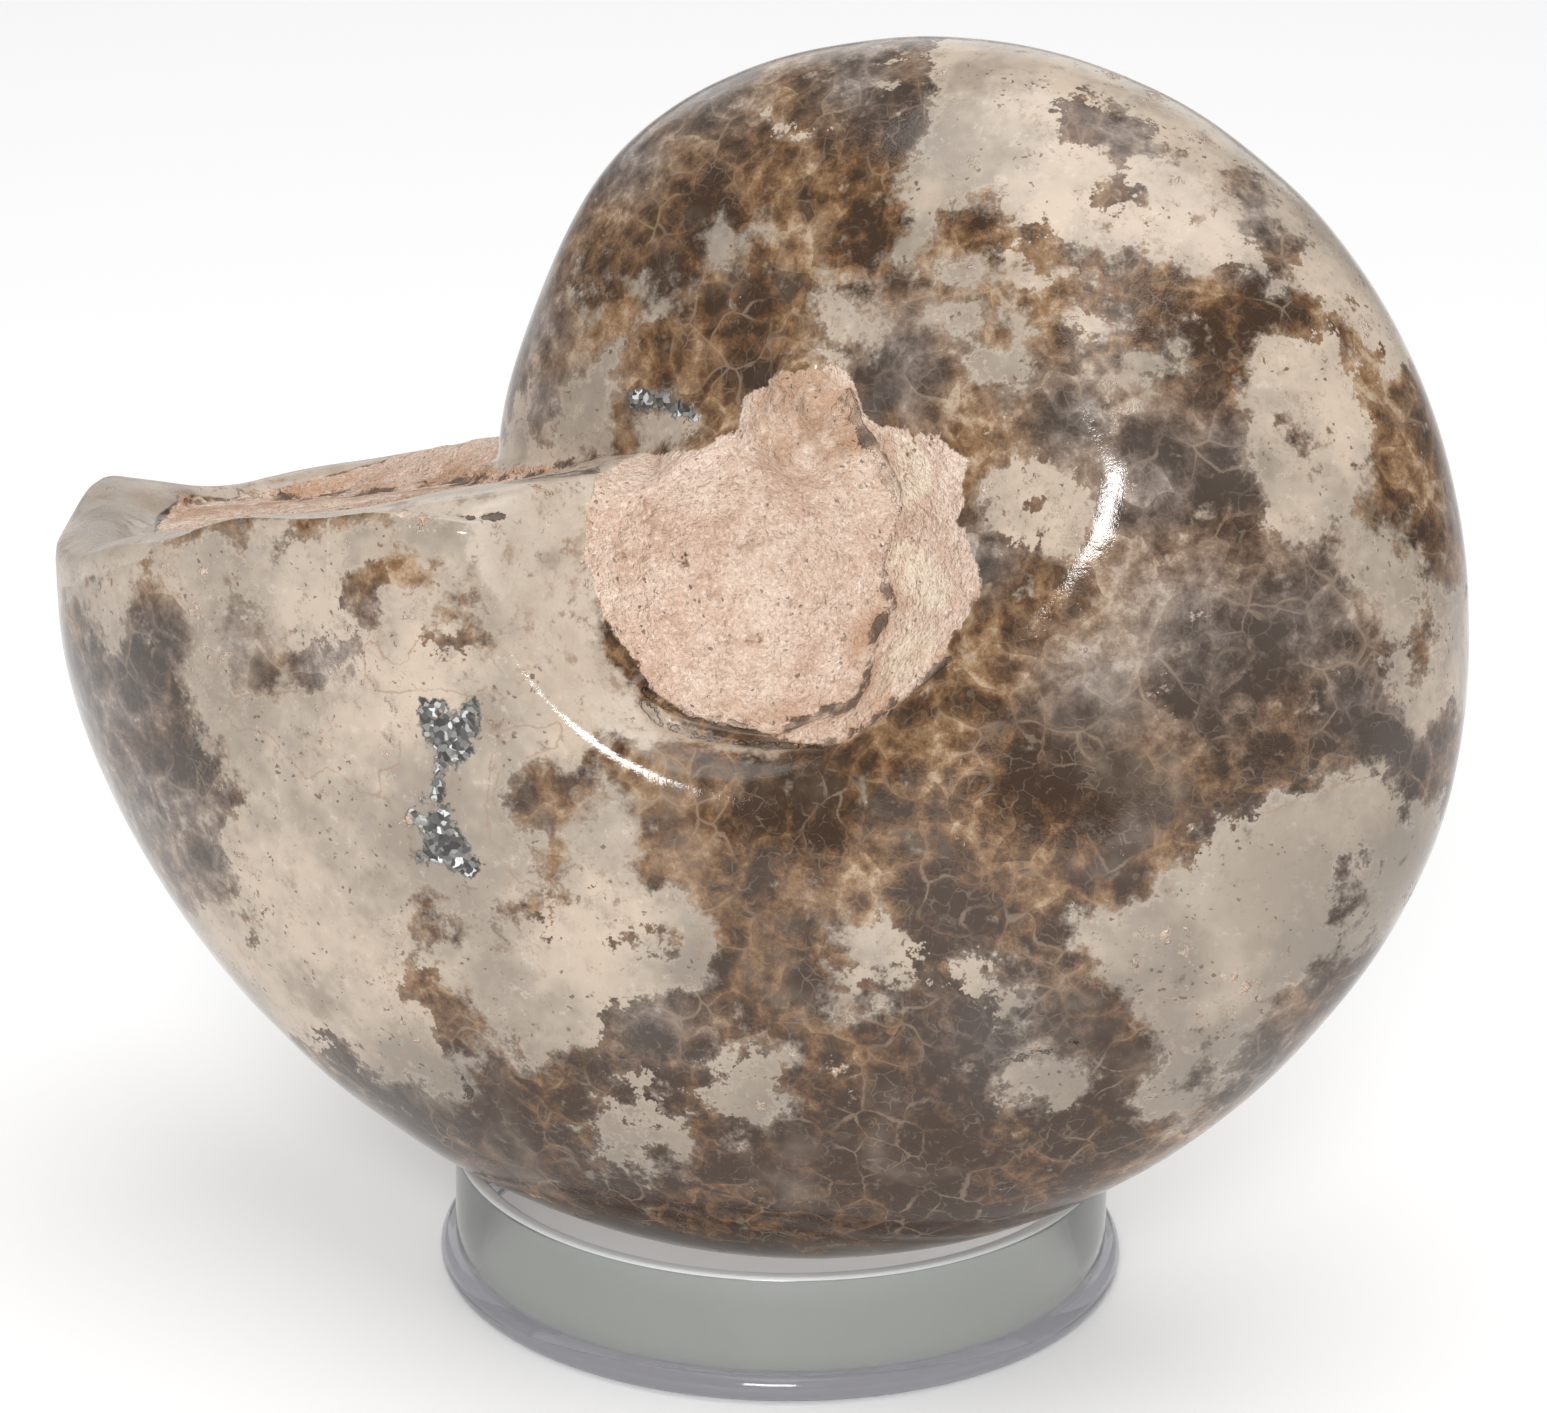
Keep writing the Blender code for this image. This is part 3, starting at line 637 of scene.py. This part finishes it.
def stone_material():
    material = bpy.data.materials.new("polished_stone")
    material.use_nodes = True
    tree = material.node_tree
    shader = tree.nodes["Principled BSDF"]
    spot = Wire(tree.nodes.new("ShaderNodeTexCoord").outputs["Object"])

    def attribute(name):
        return spot.node("ShaderNodeAttribute", {"attribute_name": name}, None, "Fac")

    def grains(scale, detail=3.0, roughness=0.6):
        sockets = {"Vector": spot, "Scale": scale, "Detail": detail, "Roughness": roughness}
        return spot.node("ShaderNodeTexNoise", None, sockets)

    def shifted(scale, amount):
        """The place on the stone, pushed about by noise."""
        push = spot.node("ShaderNodeTexNoise", None, {"Vector": spot, "Scale": scale, "Detail": 1.0}, "Color")
        push = spot.node("ShaderNodeVectorMath", {"operation": "SUBTRACT"}, {0: push, 1: (0.5, 0.5, 0.5)})
        return spot.node("ShaderNodeVectorMath", {"operation": "MULTIPLY_ADD"}, {0: push, 1: (amount,) * 3, 2: spot})

    def cells(place, scale):
        """A colour for each cell of broken stone, picked at random."""
        return spot.node("ShaderNodeTexVoronoi", None, {"Vector": place, "Scale": scale}, "Color")

    def channel(colour, index):
        return colour.node("ShaderNodeSeparateColor", None, {0: colour}, index)

    def edge_of_cells(place, scale):
        return spot.node("ShaderNodeTexVoronoi", {"feature": "DISTANCE_TO_EDGE"}, {"Vector": place, "Scale": scale})

    def layered(base, *layers):
        """A base colour with others laid over it in turn, each by its mask and share."""
        for mask, share, colour in layers:
            base = (mask * share).mix(base, colour)
        return base

    clouds = grains(85.0, 4.0, 0.68)
    broad = grains(115.0)
    smears = grains(170.0, 4.0, 0.7)
    middling = grains(210.0)
    islands = grains(330.0, 4.0, 0.7)
    fringes = grains(420.0, 4.0, 0.76)
    grain = grains(750.0, 4.0, 0.8)
    fine_place = shifted(1300.0, 0.0006)
    crystal_tone = channel(cells(fine_place, 2600.0), 0)
    sand = cells(fine_place, 4400.0)
    sand_tone, speck_tone = channel(sand, 0), channel(sand, 1)

    # Where each kind of stone is, with its edge frayed by noise
    # dark: the darker spots, partly darker stone and partly painted shade towards the bottom
    dark = attribute("dark")
    grey = attribute("grey")
    wander = (broad - 0.5) * 5.0 + (fringes - 0.5) * 7.5
    sediment = (attribute("sediment") + wander * 0.28).between(0.36, 0.60)
    crystal = (attribute("crystal") + wander * 0.5).between(-0.1, 0.3)
    slope = (attribute("slope") + wander * 0.5).between(-0.4, 0.6)
    band = (attribute("band") + wander * 0.5).between(-0.3, 0.4)
    cream_depth = attribute("cream") + wander
    crisp = cream_depth.between(-0.1, 0.2)
    blurred = cream_depth.between(-1.1, 0.9)
    cream = crisp + (blurred - crisp) * clouds.between(0.36, 0.54)
    cream = cream - islands.between(0.62, 0.74) * 0.75
    cream = cream.maths("MAXIMUM", (1.0 - islands.between(0.26, 0.40)) * 0.7)

    # Calcite in cells, brown in their middles and pale along their edges
    big_place = shifted(260.0, 0.0034)
    small_place = shifted(800.0, 0.0014)
    big_edge = edge_of_cells(big_place, 330.0)
    small_edge = edge_of_cells(small_place, 820.0)
    cell_tone = channel(cells(big_place, 330.0), 0)
    small_tone = channel(cells(small_place, 820.0), 0)
    tone = 0.55 + (cell_tone - 0.5) * 0.34 + (small_tone - 0.5) * 0.22 + (broad - 0.5) * 1.4
    # The tone drops with the darker spots, partly painted shade towards the bottom
    tone = tone + (grain - 0.5) * 1.8 - big_edge.between(0.02, 0.36) * 0.32 - dark * 0.60
    brown = tone.ramp(
        (0.0, (0.045, 0.022, 0.010)),
        (0.33, (0.122, 0.060, 0.025)),
        (0.66, (0.258, 0.148, 0.072)),
        (1.0, (0.47, 0.345, 0.225)),
    )
    # Greyer calcite, which also stands for painted sheen of reflected haze
    ashen_and_sheen = tone.ramp(
        (0.0, (0.070, 0.054, 0.043)),
        (0.33, (0.135, 0.106, 0.088)),
        (0.66, (0.235, 0.193, 0.166)),
        (1.0, (0.44, 0.38, 0.33)),
    )
    # Greyer where the greyer spots are: partly greyer calcite, partly painted sheen
    calcite = (grey + (islands - 0.5) * 0.8).clamp().mix(brown, ashen_and_sheen)
    big_veins = 1.0 - (big_edge + (grain - 0.5) * 0.22).between(0.0, 0.04)
    big_veins = big_veins * 0.34 * middling.between(0.44, 0.62)
    small_veins = 1.0 - (small_edge + (grain - 0.5) * 0.30).between(0.0, 0.05)
    small_veins = small_veins * 0.2 * islands.between(0.42, 0.62)
    calcite = layered(
        calcite,
        (big_veins.maths("MAXIMUM", small_veins), 1.0, (0.44, 0.335, 0.24)),
        (clouds.between(0.53, 0.76), 0.36, (0.41, 0.325, 0.25)),
    )

    # Cream limestone, with a paler fringe, thin brown lines that follow its edge, and sutures
    line = (1.0 - (cream_depth - 1.3).maths("ABSOLUTE").between(0.03, 0.14)) * middling.between(0.5, 0.6)
    fringe = cream_depth.between(0.0, 0.25) * (1.0 - cream_depth.between(0.35, 0.9)) * smears.between(0.45, 0.6)
    suture = (attribute("suture") + wander * 0.22).maths("ABSOLUTE")
    suture = (1.0 - suture.between(0.03, 0.11)) * middling.between(0.38, 0.48)
    # The cream darkens with the darker spots too, partly painted shade
    cream_tone = ((1.0 - clouds.between(0.36, 0.66)) - dark * 0.6).clamp()
    limestone = layered(
        cream_tone.mix((0.320, 0.270, 0.218), (0.590, 0.480, 0.378)),
        (fringes.between(0.5, 0.72), 0.5, (0.355, 0.283, 0.216)),
        (smears.between(0.54, 0.72), 0.55, (0.34, 0.263, 0.20)),
        (grain.between(0.56, 0.7), 0.35, (0.74, 0.65, 0.56)),
        (1.0 - grain.between(0.29, 0.45), 0.6, (0.29, 0.225, 0.168)),
        # darker spots: darker stone and painted shade
        (dark, 0.55, (0.225, 0.192, 0.152)),
        (line, 0.5, (0.30, 0.20, 0.13)),
        (fringe, 0.4, (0.64, 0.55, 0.45)),
        (suture, 0.6, (0.34, 0.22, 0.14)),
        (speck_tone.between(0.970, 0.975) * islands.between(0.48, 0.56), 0.8, (0.12, 0.08, 0.055)),
    )

    # Tan stone of the slope beside the hollow and of the smooth band along the lip
    tan = layered(
        smears.between(0.35, 0.65).mix((0.48, 0.395, 0.317), (0.62, 0.53, 0.435)),
        (islands.between(0.56, 0.68), 1.0, (0.36, 0.265, 0.19)),
        (1.0 - grain.between(0.30, 0.44), 1.0, (0.30, 0.215, 0.15)),
        # darker spots: darker stone and painted shade
        (dark, 0.6, (0.20, 0.145, 0.10)),
    )

    # Pockets lined with small grey crystals, whose palest facets are painted white as glints
    crystals_and_glints = crystal_tone.ramp(
        (0.0, (0.035, 0.033, 0.030)),
        (0.5, (0.120, 0.115, 0.105)),
        (0.82, (0.27, 0.26, 0.245)),
        (1.0, (0.85, 0.86, 0.86)),
    )

    # Sediment: pinkish tan sand, with black specks and orange stains, and dark along its cracks
    crack_depth = attribute("crack") + (fringes - 0.5) * 2.4 - 0.08
    stain = crack_depth.between(-2.4, 0.1) * middling.between(0.4, 0.6)
    crack = crack_depth.between(-0.10, 0.16)
    earth = layered(
        smears.between(0.3, 0.7).mix((0.69, 0.485, 0.372), (0.84, 0.675, 0.55)),
        (clouds.between(0.56, 0.74), 0.45, (0.56, 0.33, 0.20)),
        (band, 1.0, (0.88, 0.74, 0.58)),
        (1.0 - sand_tone.between(0.0, 0.30), 0.40, (0.40, 0.26, 0.18)),
        (1.0 - grain.between(0.30, 0.46), 0.5, (0.43, 0.28, 0.19)),
        (sand_tone.between(0.72, 1.0), 0.45, (1.0, 0.88, 0.77)),
        (1.0 - fringes.between(0.32, 0.46), 0.5, (0.47, 0.28, 0.185)),
        (stain, 0.75, (0.50, 0.27, 0.15)),
        (attribute("lump") * islands.between(0.34, 0.6), 0.75, (0.47, 0.275, 0.16)),
        (speck_tone.between(0.965, 0.985) * islands.between(0.46, 0.56), 0.7, (0.060, 0.048, 0.040)),
    )
    colour = layered(
        cream.mix(calcite, limestone),
        (slope, 0.85, tan),
        (crystal, 1.0, crystals_and_glints),
        (sediment, 1.0, earth),
        (crack * middling.between(0.40, 0.56), 0.8, (0.060, 0.048, 0.040)),
    )
    tree.links.new(colour.socket, shader.inputs["Base Color"])

    # Polished, but for the sediment and the cracks
    rough = 0.11 + (grain - 0.5) * 0.22 + crystal * 0.1 + slope * 0.16
    rough = rough + (0.85 - rough) * sediment.maths("MAXIMUM", crack)
    tree.links.new(rough.socket, shader.inputs["Roughness"])
    shader.inputs["IOR"].default_value = 1.5

    height = (islands - 0.5) * 0.05 + (grain - 0.5) * 0.08
    height = height + sediment * ((fringes - 0.5) * 2.6 + (grain - 0.5) * 1.6)
    height = height + crystal * crystal_tone * 0.5 - crack * 0.8
    bump = height.node("ShaderNodeBump", None, {"Strength": 1.0, "Distance": 0.0004, "Height": height})
    tree.links.new(bump.socket, shader.inputs["Normal"])
    return material


def grow_mesh(material):
    """The stone's mesh as the growth law gives it."""
    tree = coil_tree(material)
    holder = bpy.data.objects.new("coil", bpy.data.meshes.new("coil"))
    bpy.context.scene.collection.objects.link(holder)
    grown = holder.modifiers.new("grown", "NODES")
    grown.node_group = tree
    sizes = (LIP_RADIUS, TURN_RATIO, HALF_BREADTH, UMBILICUS, CUT_HEIGHT, CUT_SLOPE_OUT, CUT_SLOPE_SIDE, CUT_RECESS)
    inputs = [item for item in tree.interface.items_tree if item.in_out == "INPUT"]
    for item, size in zip(inputs, sizes):
        grown[item.identifier] = size
    graph = bpy.context.evaluated_depsgraph_get()
    mesh = bpy.data.meshes.new_from_object(holder.evaluated_get(graph))
    holder.modifiers.remove(grown)
    bpy.data.objects.remove(holder)
    mesh.name = "polished_ammonite"
    return mesh


def read_values(items, name, width, kind=float):
    values = np.empty(len(items) * width, kind)
    items.foreach_get(name, values)
    return values.reshape(-1, width)


def ease_shoulders(points, edges, column, step):
    """Round the shoulders: a sharp ridge near the lip, and a broad one on the older coil."""
    a, b = edges.T
    count = np.bincount(edges.ravel(), minlength=len(points))[:, None]
    shoulder = smooth_step(1.0 - np.abs(step - DISH_ROWS - WALL_ROWS - 1.0) / RIDGE_ROWS)
    older = smooth_step((column / WHORL_COLUMNS - OLDER_FROM) / OLDER_FADE)
    older *= smooth_step((WHORL_COLUMNS - column) / CUT_FADE_COLUMNS)
    for turn in range(EASE_ROUNDS):
        if turn < EVERYWHERE_ROUNDS:
            ease = np.ones(len(points))
        elif turn < RIDGE_ROUNDS:
            ease = shoulder
        else:
            ease = shoulder * older
        total = [np.bincount(a, axis[b], len(points)) + np.bincount(b, axis[a], len(points)) for axis in points.T]
        points = points + EASE_SHARE * ease[:, None] * (np.stack(total, axis=1) / count - points)
    return points


def outward_normals(mesh, points):
    """Normals of the mesh's points, with its faces turned outward."""
    normals = read_values(mesh.vertex_normals, "vector", 3)
    if ((points - points.mean(axis=0)) * normals).sum() < 0.0:
        mesh.flip_normals()
        normals = -normals
    return normals


def carve(points, normals, column, step):
    """The points with their relief, and how far each is in the cut, lip band, sediment and lump."""
    in_dish = smooth_step((DISH_ROWS + BLEND_STEPS / 2 - step) / BLEND_STEPS)
    in_cut = smooth_step((column - WHORL_COLUMNS) / BLEND_STEPS) * smooth_step((COLUMNS - column) / BLEND_STEPS)
    in_cut *= smooth_step((step - DISH_ROWS) / BLEND_STEPS)
    height = np.zeros(len(points))
    for along, across, radius, rise in SWELLS:
        height += bulge(points, whorl_point(along, across), radius, rise)
    crest = [whorl_point(*place) for place in CREST]
    away = np.min([from_line(points, c, d) for c, d in zip(crest, crest[1:])], axis=0)
    height += CREST_RISE * np.exp(-((away / CREST_RADIUS) ** 2))

    away = np.linalg.norm(points - np.array(LUMP_PLACE), axis=1) / LUMP_RADIUS
    close = away < LUMP_EDGE
    rough = np.zeros(len(points))
    rough[close] = field(points[close], LUMP_GRAIN * LUMP_RADIUS)
    height += LUMP_RISE * smooth_step(LUMP_EDGE - away) * (1.0 + LUMP_RAGGEDNESS * rough)
    lump = smooth_step((LUMP_TOP - away) * 3.0)
    on_lump = lump > 0.0
    rise, size = LUMP_CRAGS
    height[on_lump] += rise * lump[on_lump] * ragged(points[on_lump], size, 9.0)

    flank_share = 1.0 - 2.0 * (step - DISH_ROWS - WALL_ROWS) / FLANK_ROWS
    over = np.clip((column - WHORL_COLUMNS) / CUT_COLUMNS, 0.0, 1.0)
    band_from = np.where(flank_share < 0.0, BAND_FAR, BAND_NEAR)
    at_lip = smooth_step((over - BAND_OVER) / BAND_OVER_FADE)
    at_sides = smooth_step((np.abs(flank_share) - band_from) / BAND_SIDE_FADE)
    lip_band = in_cut * np.maximum(at_lip, at_sides)
    sediment = np.maximum(np.maximum(in_dish, in_cut), lump) * (1.0 - lip_band)
    rough = sediment > 0.0
    grit = np.zeros(len(points))
    for (rise, size), seed in ((COARSE_GRIT, 0.0), (FINE_GRIT, 5.0)):
        grit[rough] += rise * ragged(points[rough], size, seed)
    rise, size = POLISH_WAVES
    height += sediment * grit + (1.0 - sediment) * rise * field(points, size, 3.0)
    points = points + normals * height[:, None]
    points[:, 0] -= bulge(points, whorl_point(*DENT_PLACE), DENT_RADIUS, DENT_DEPTH)
    points[:, 1] -= in_cut * bulge(points, KNOB_PLACE, KNOB_RADIUS, KNOB_RISE)
    return points, in_cut, lip_band, sediment, lump


def laid_in_ring():
    """Turn of the coil as it lies in the ring."""
    lying = Matrix(((-1, 0, 0), (0, 0, -1), (0, -1, 0)))
    turn = Matrix.Rotation(math.radians(COIL_TURN), 3, "Z")
    lean = Matrix.Rotation(math.radians(-COIL_LEAN), 3, "X")
    roll = Matrix.Rotation(math.radians(COIL_ROLL), 3, "Z")
    return np.array(turn @ lean @ lying @ roll)


def make_stone(material):
    mesh = grow_mesh(material)
    points = read_values(mesh.vertices, "co", 3)
    column = read_values(mesh.attributes["column"].data, "value", 1)[:, 0]
    step = read_values(mesh.attributes["step"].data, "value", 1)[:, 0]
    points = ease_shoulders(points, read_values(mesh.edges, "vertices", 2, int), column, step)
    mesh.vertices.foreach_set("co", points.ravel())
    mesh.update()
    normals = outward_normals(mesh, points)
    coil_points, in_cut, lip_band, sediment, lump = carve(points, normals, column, step)
    laid = laid_in_ring()
    points = coil_points @ laid.T + np.array(STAND_MIDDLE + COIL_OVER_STAND)
    normals = normals @ laid.T

    # Patches: traced where the photograph shows them, and strewn at random where it doesn't
    toward = np.array(camera_place) - points
    toward /= np.linalg.norm(toward, axis=1)[:, None]
    shown = smooth_step(((normals * toward).sum(axis=1) + SHOWN_FADE) / SHOWN_FADE)
    seen = shown > 0.0
    places = in_frame(points[seen])
    nowhere = np.full(len(points), -PATCH_DEPTH)

    def traced(outlines, spots=(), softness=1.0):
        depth = np.full(len(places), -60.0)
        for outline in outlines:
            depth = np.maximum(depth, inside_outline(places, outline))
        for x, y, radius in spots:
            depth = np.maximum(depth, (radius - np.hypot(places[:, 0] - x, places[:, 1] - y)) * softness)
        return depth / PATCH_STEP

    def everywhere(front, back):
        whole = np.clip(back, -PATCH_DEPTH, PATCH_DEPTH)
        whole[seen] += shown[seen] * (np.clip(front, -PATCH_DEPTH, PATCH_DEPTH) - whole[seen])
        return whole

    def store(name, values):
        layer = mesh.attributes.new(name, "FLOAT", "POINT")
        layer.data.foreach_set("value", np.ascontiguousarray(values, np.float32))

    cracked = np.full(len(places), -9.0)
    for width, *line in CRACKS:
        line = np.array(line, float)
        for c, d in zip(line, line[1:]):
            cracked = np.maximum(cracked, (width - from_line(places, c, d)) / PATCH_STEP)
    groove = smooth_step((cracked + GROOVE_REACH) / GROOVE_FADE) * shown[seen]
    points[seen] -= GROOVE_DEPTH * groove[:, None] * normals[seen]
    mesh.vertices.foreach_set("co", points.ravel())
    knob = traced(KNOB)
    covered = sediment.copy()
    covered[seen] = np.maximum(covered[seen] * (in_cut[seen] > 0.0), smooth_step(0.5 + traced(SEDIMENT)))
    covered[seen] *= smooth_step(0.5 - 2.0 * knob)
    store("sediment", covered)
    store("lump", lump)
    store("crack", everywhere(cracked, nowhere))
    slope = np.maximum(everywhere(traced(SLOPE), nowhere), 2.0 * PATCH_DEPTH * lip_band - PATCH_DEPTH)
    slope[seen] = np.maximum(slope[seen], 5.6 * smooth_step(0.5 + knob) - PATCH_DEPTH)
    store("slope", slope)
    wavy = 9.0 * field(coil_points, 0.016, 51.0) + 2.0 * field(coil_points, 0.006, 52.0)
    store("suture", everywhere(traced(SUTURES), wavy))
    store("band", everywhere(traced(BAND), nowhere))
    strewn = 9.0 * field(coil_points, 0.020, 11.0) + 3.0 * field(coil_points, 0.008, 12.0) - 0.6
    front = np.minimum(traced(CREAM, CREAM_SPOTS, 0.5), -traced(BROWN, BROWN_SPOTS, 0.6))
    store("cream", everywhere(front, strewn))
    store("crystal", everywhere(traced(CRYSTALS), 12.0 * field(coil_points, 0.014, 21.0) - 7.5))
    # The darker spots are partly painted shade, darker towards the bottom.
    # The greyer spots are partly painted sheen of reflected haze.
    for name, spots, seed in (("dark", DARK_AND_SHADE_SPOTS, 31.0), ("grey", GREY_AND_SHEEN_SPOTS, 41.0)):
        blobs = np.max([bulge(places, (x, y), radius, 1.0) for x, y, radius in spots], axis=0)
        whole = np.clip(1.6 * field(coil_points, 0.016, seed), 0.0, 1.0)
        whole[seen] += shown[seen] * (blobs - whole[seen])
        store(name, whole)

    mesh.shade_smooth()
    mesh.update()
    stone = bpy.data.objects.new("polished_ammonite", mesh)
    bpy.context.scene.collection.objects.link(stone)
    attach(stone, "root")
    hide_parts("ammonite")


make_stone(stone_material())

# The stand: a ring of clear plastic with a beaded foot, moulded in one piece. The stone rests in
# its rim by its own weight. Its profile is turned about the upright axis.
RING_RADIUS = 0.0249
RING_HEIGHT = 0.0094
RING_WALL = 0.0012
BEAD_HEIGHT = 0.0022
RIM_ROUND = 0.0004
FOOT_CHAMFER = 0.0002
# Depth of the rim's top that takes the whitish plastic, a painted highlight
RIM_HIGHLIGHT_DEPTH = 0.0002
RING_SIDES = 240
SHARP_ANGLE = 35.0
PLASTIC_IOR = 1.49


def plastic(name, roughness, transmission, colour=(1.0, 1.0, 1.0, 1.0)):
    material = bpy.data.materials.new(name)
    material.use_nodes = True
    shader = material.node_tree.nodes["Principled BSDF"]
    shader.inputs["Base Color"].default_value = colour
    shader.inputs["Roughness"].default_value = roughness
    shader.inputs["IOR"].default_value = PLASTIC_IOR
    shader.inputs["Transmission Weight"].default_value = transmission
    return material


def clear_plastic():
    """Clear plastic, which looks lilac where the bead is thick and green through the wall."""
    material = plastic("clear_plastic", 0.08, 0.85)
    tree = material.node_tree
    height = Wire(tree.nodes.new("ShaderNodeTexCoord").outputs["Object"]).part(2)
    tint = height.between(0.0021, 0.0024).mix((0.58, 0.575, 0.62), (0.64, 0.665, 0.635))
    tree.links.new(tint.socket, tree.nodes["Principled BSDF"].inputs["Base Color"])
    return material


def ring_profile():
    """The ring's outline from its rim down to its foot, as distances from its axis and heights."""
    bead = BEAD_HEIGHT / 2
    outer = RING_RADIUS - bead
    inner = outer - RING_WALL
    rim = RING_HEIGHT - RIM_ROUND
    profile = []
    for x, z, radius, start, end, steps in (
        (inner + RIM_ROUND, rim, RIM_ROUND, 180, 90, 6),
        (outer - RIM_ROUND, rim, RIM_ROUND, 90, 0, 6),
        (outer, bead, bead, 90, -90, 16),
    ):
        for step in range(steps + 1):
            angle = math.radians(start + (end - start) * step / steps)
            profile.append((x + radius * math.cos(angle), z + radius * math.sin(angle)))
    return profile + [(inner + FOOT_CHAMFER, 0.0), (inner, FOOT_CHAMFER)]


def make_ring(clear, rim_highlight):
    profile = ring_profile()
    verts = []
    faces = []
    for side in range(RING_SIDES):
        angle = math.tau * side / RING_SIDES
        for x, z in profile:
            verts.append((x * math.cos(angle) + STAND_MIDDLE.x, x * math.sin(angle) + STAND_MIDDLE.y, z))
        for i in range(len(profile)):
            j = (i + 1) % len(profile)
            this, following = side * len(profile), (side + 1) % RING_SIDES * len(profile)
            faces.append((this + i, this + j, following + j, following + i))
    mesh = bpy.data.meshes.new("clear_ring")
    mesh.from_pydata(verts, [], faces)
    mesh.materials.append(clear)
    mesh.materials.append(rim_highlight)
    # Faces on the rim's top take the whitish plastic: a painted highlight for the bright line along the rim
    for face in mesh.polygons:
        face.material_index = 1 if face.center.z > RING_HEIGHT - RIM_HIGHLIGHT_DEPTH else 0
    mesh.shade_smooth()
    mesh.set_sharp_from_angle(angle=math.radians(SHARP_ANGLE))
    ring = bpy.data.objects.new("clear_ring", mesh)
    bpy.context.scene.collection.objects.link(ring)
    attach(ring, "root")
    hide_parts("ring_stand")


# The rim's top is whitish and less clear: a painted highlight for the bright line of light along it.
make_ring(clear_plastic(), plastic("rim_painted_highlight", 0.4, 0.25, (0.93, 0.95, 0.94, 1.0)))
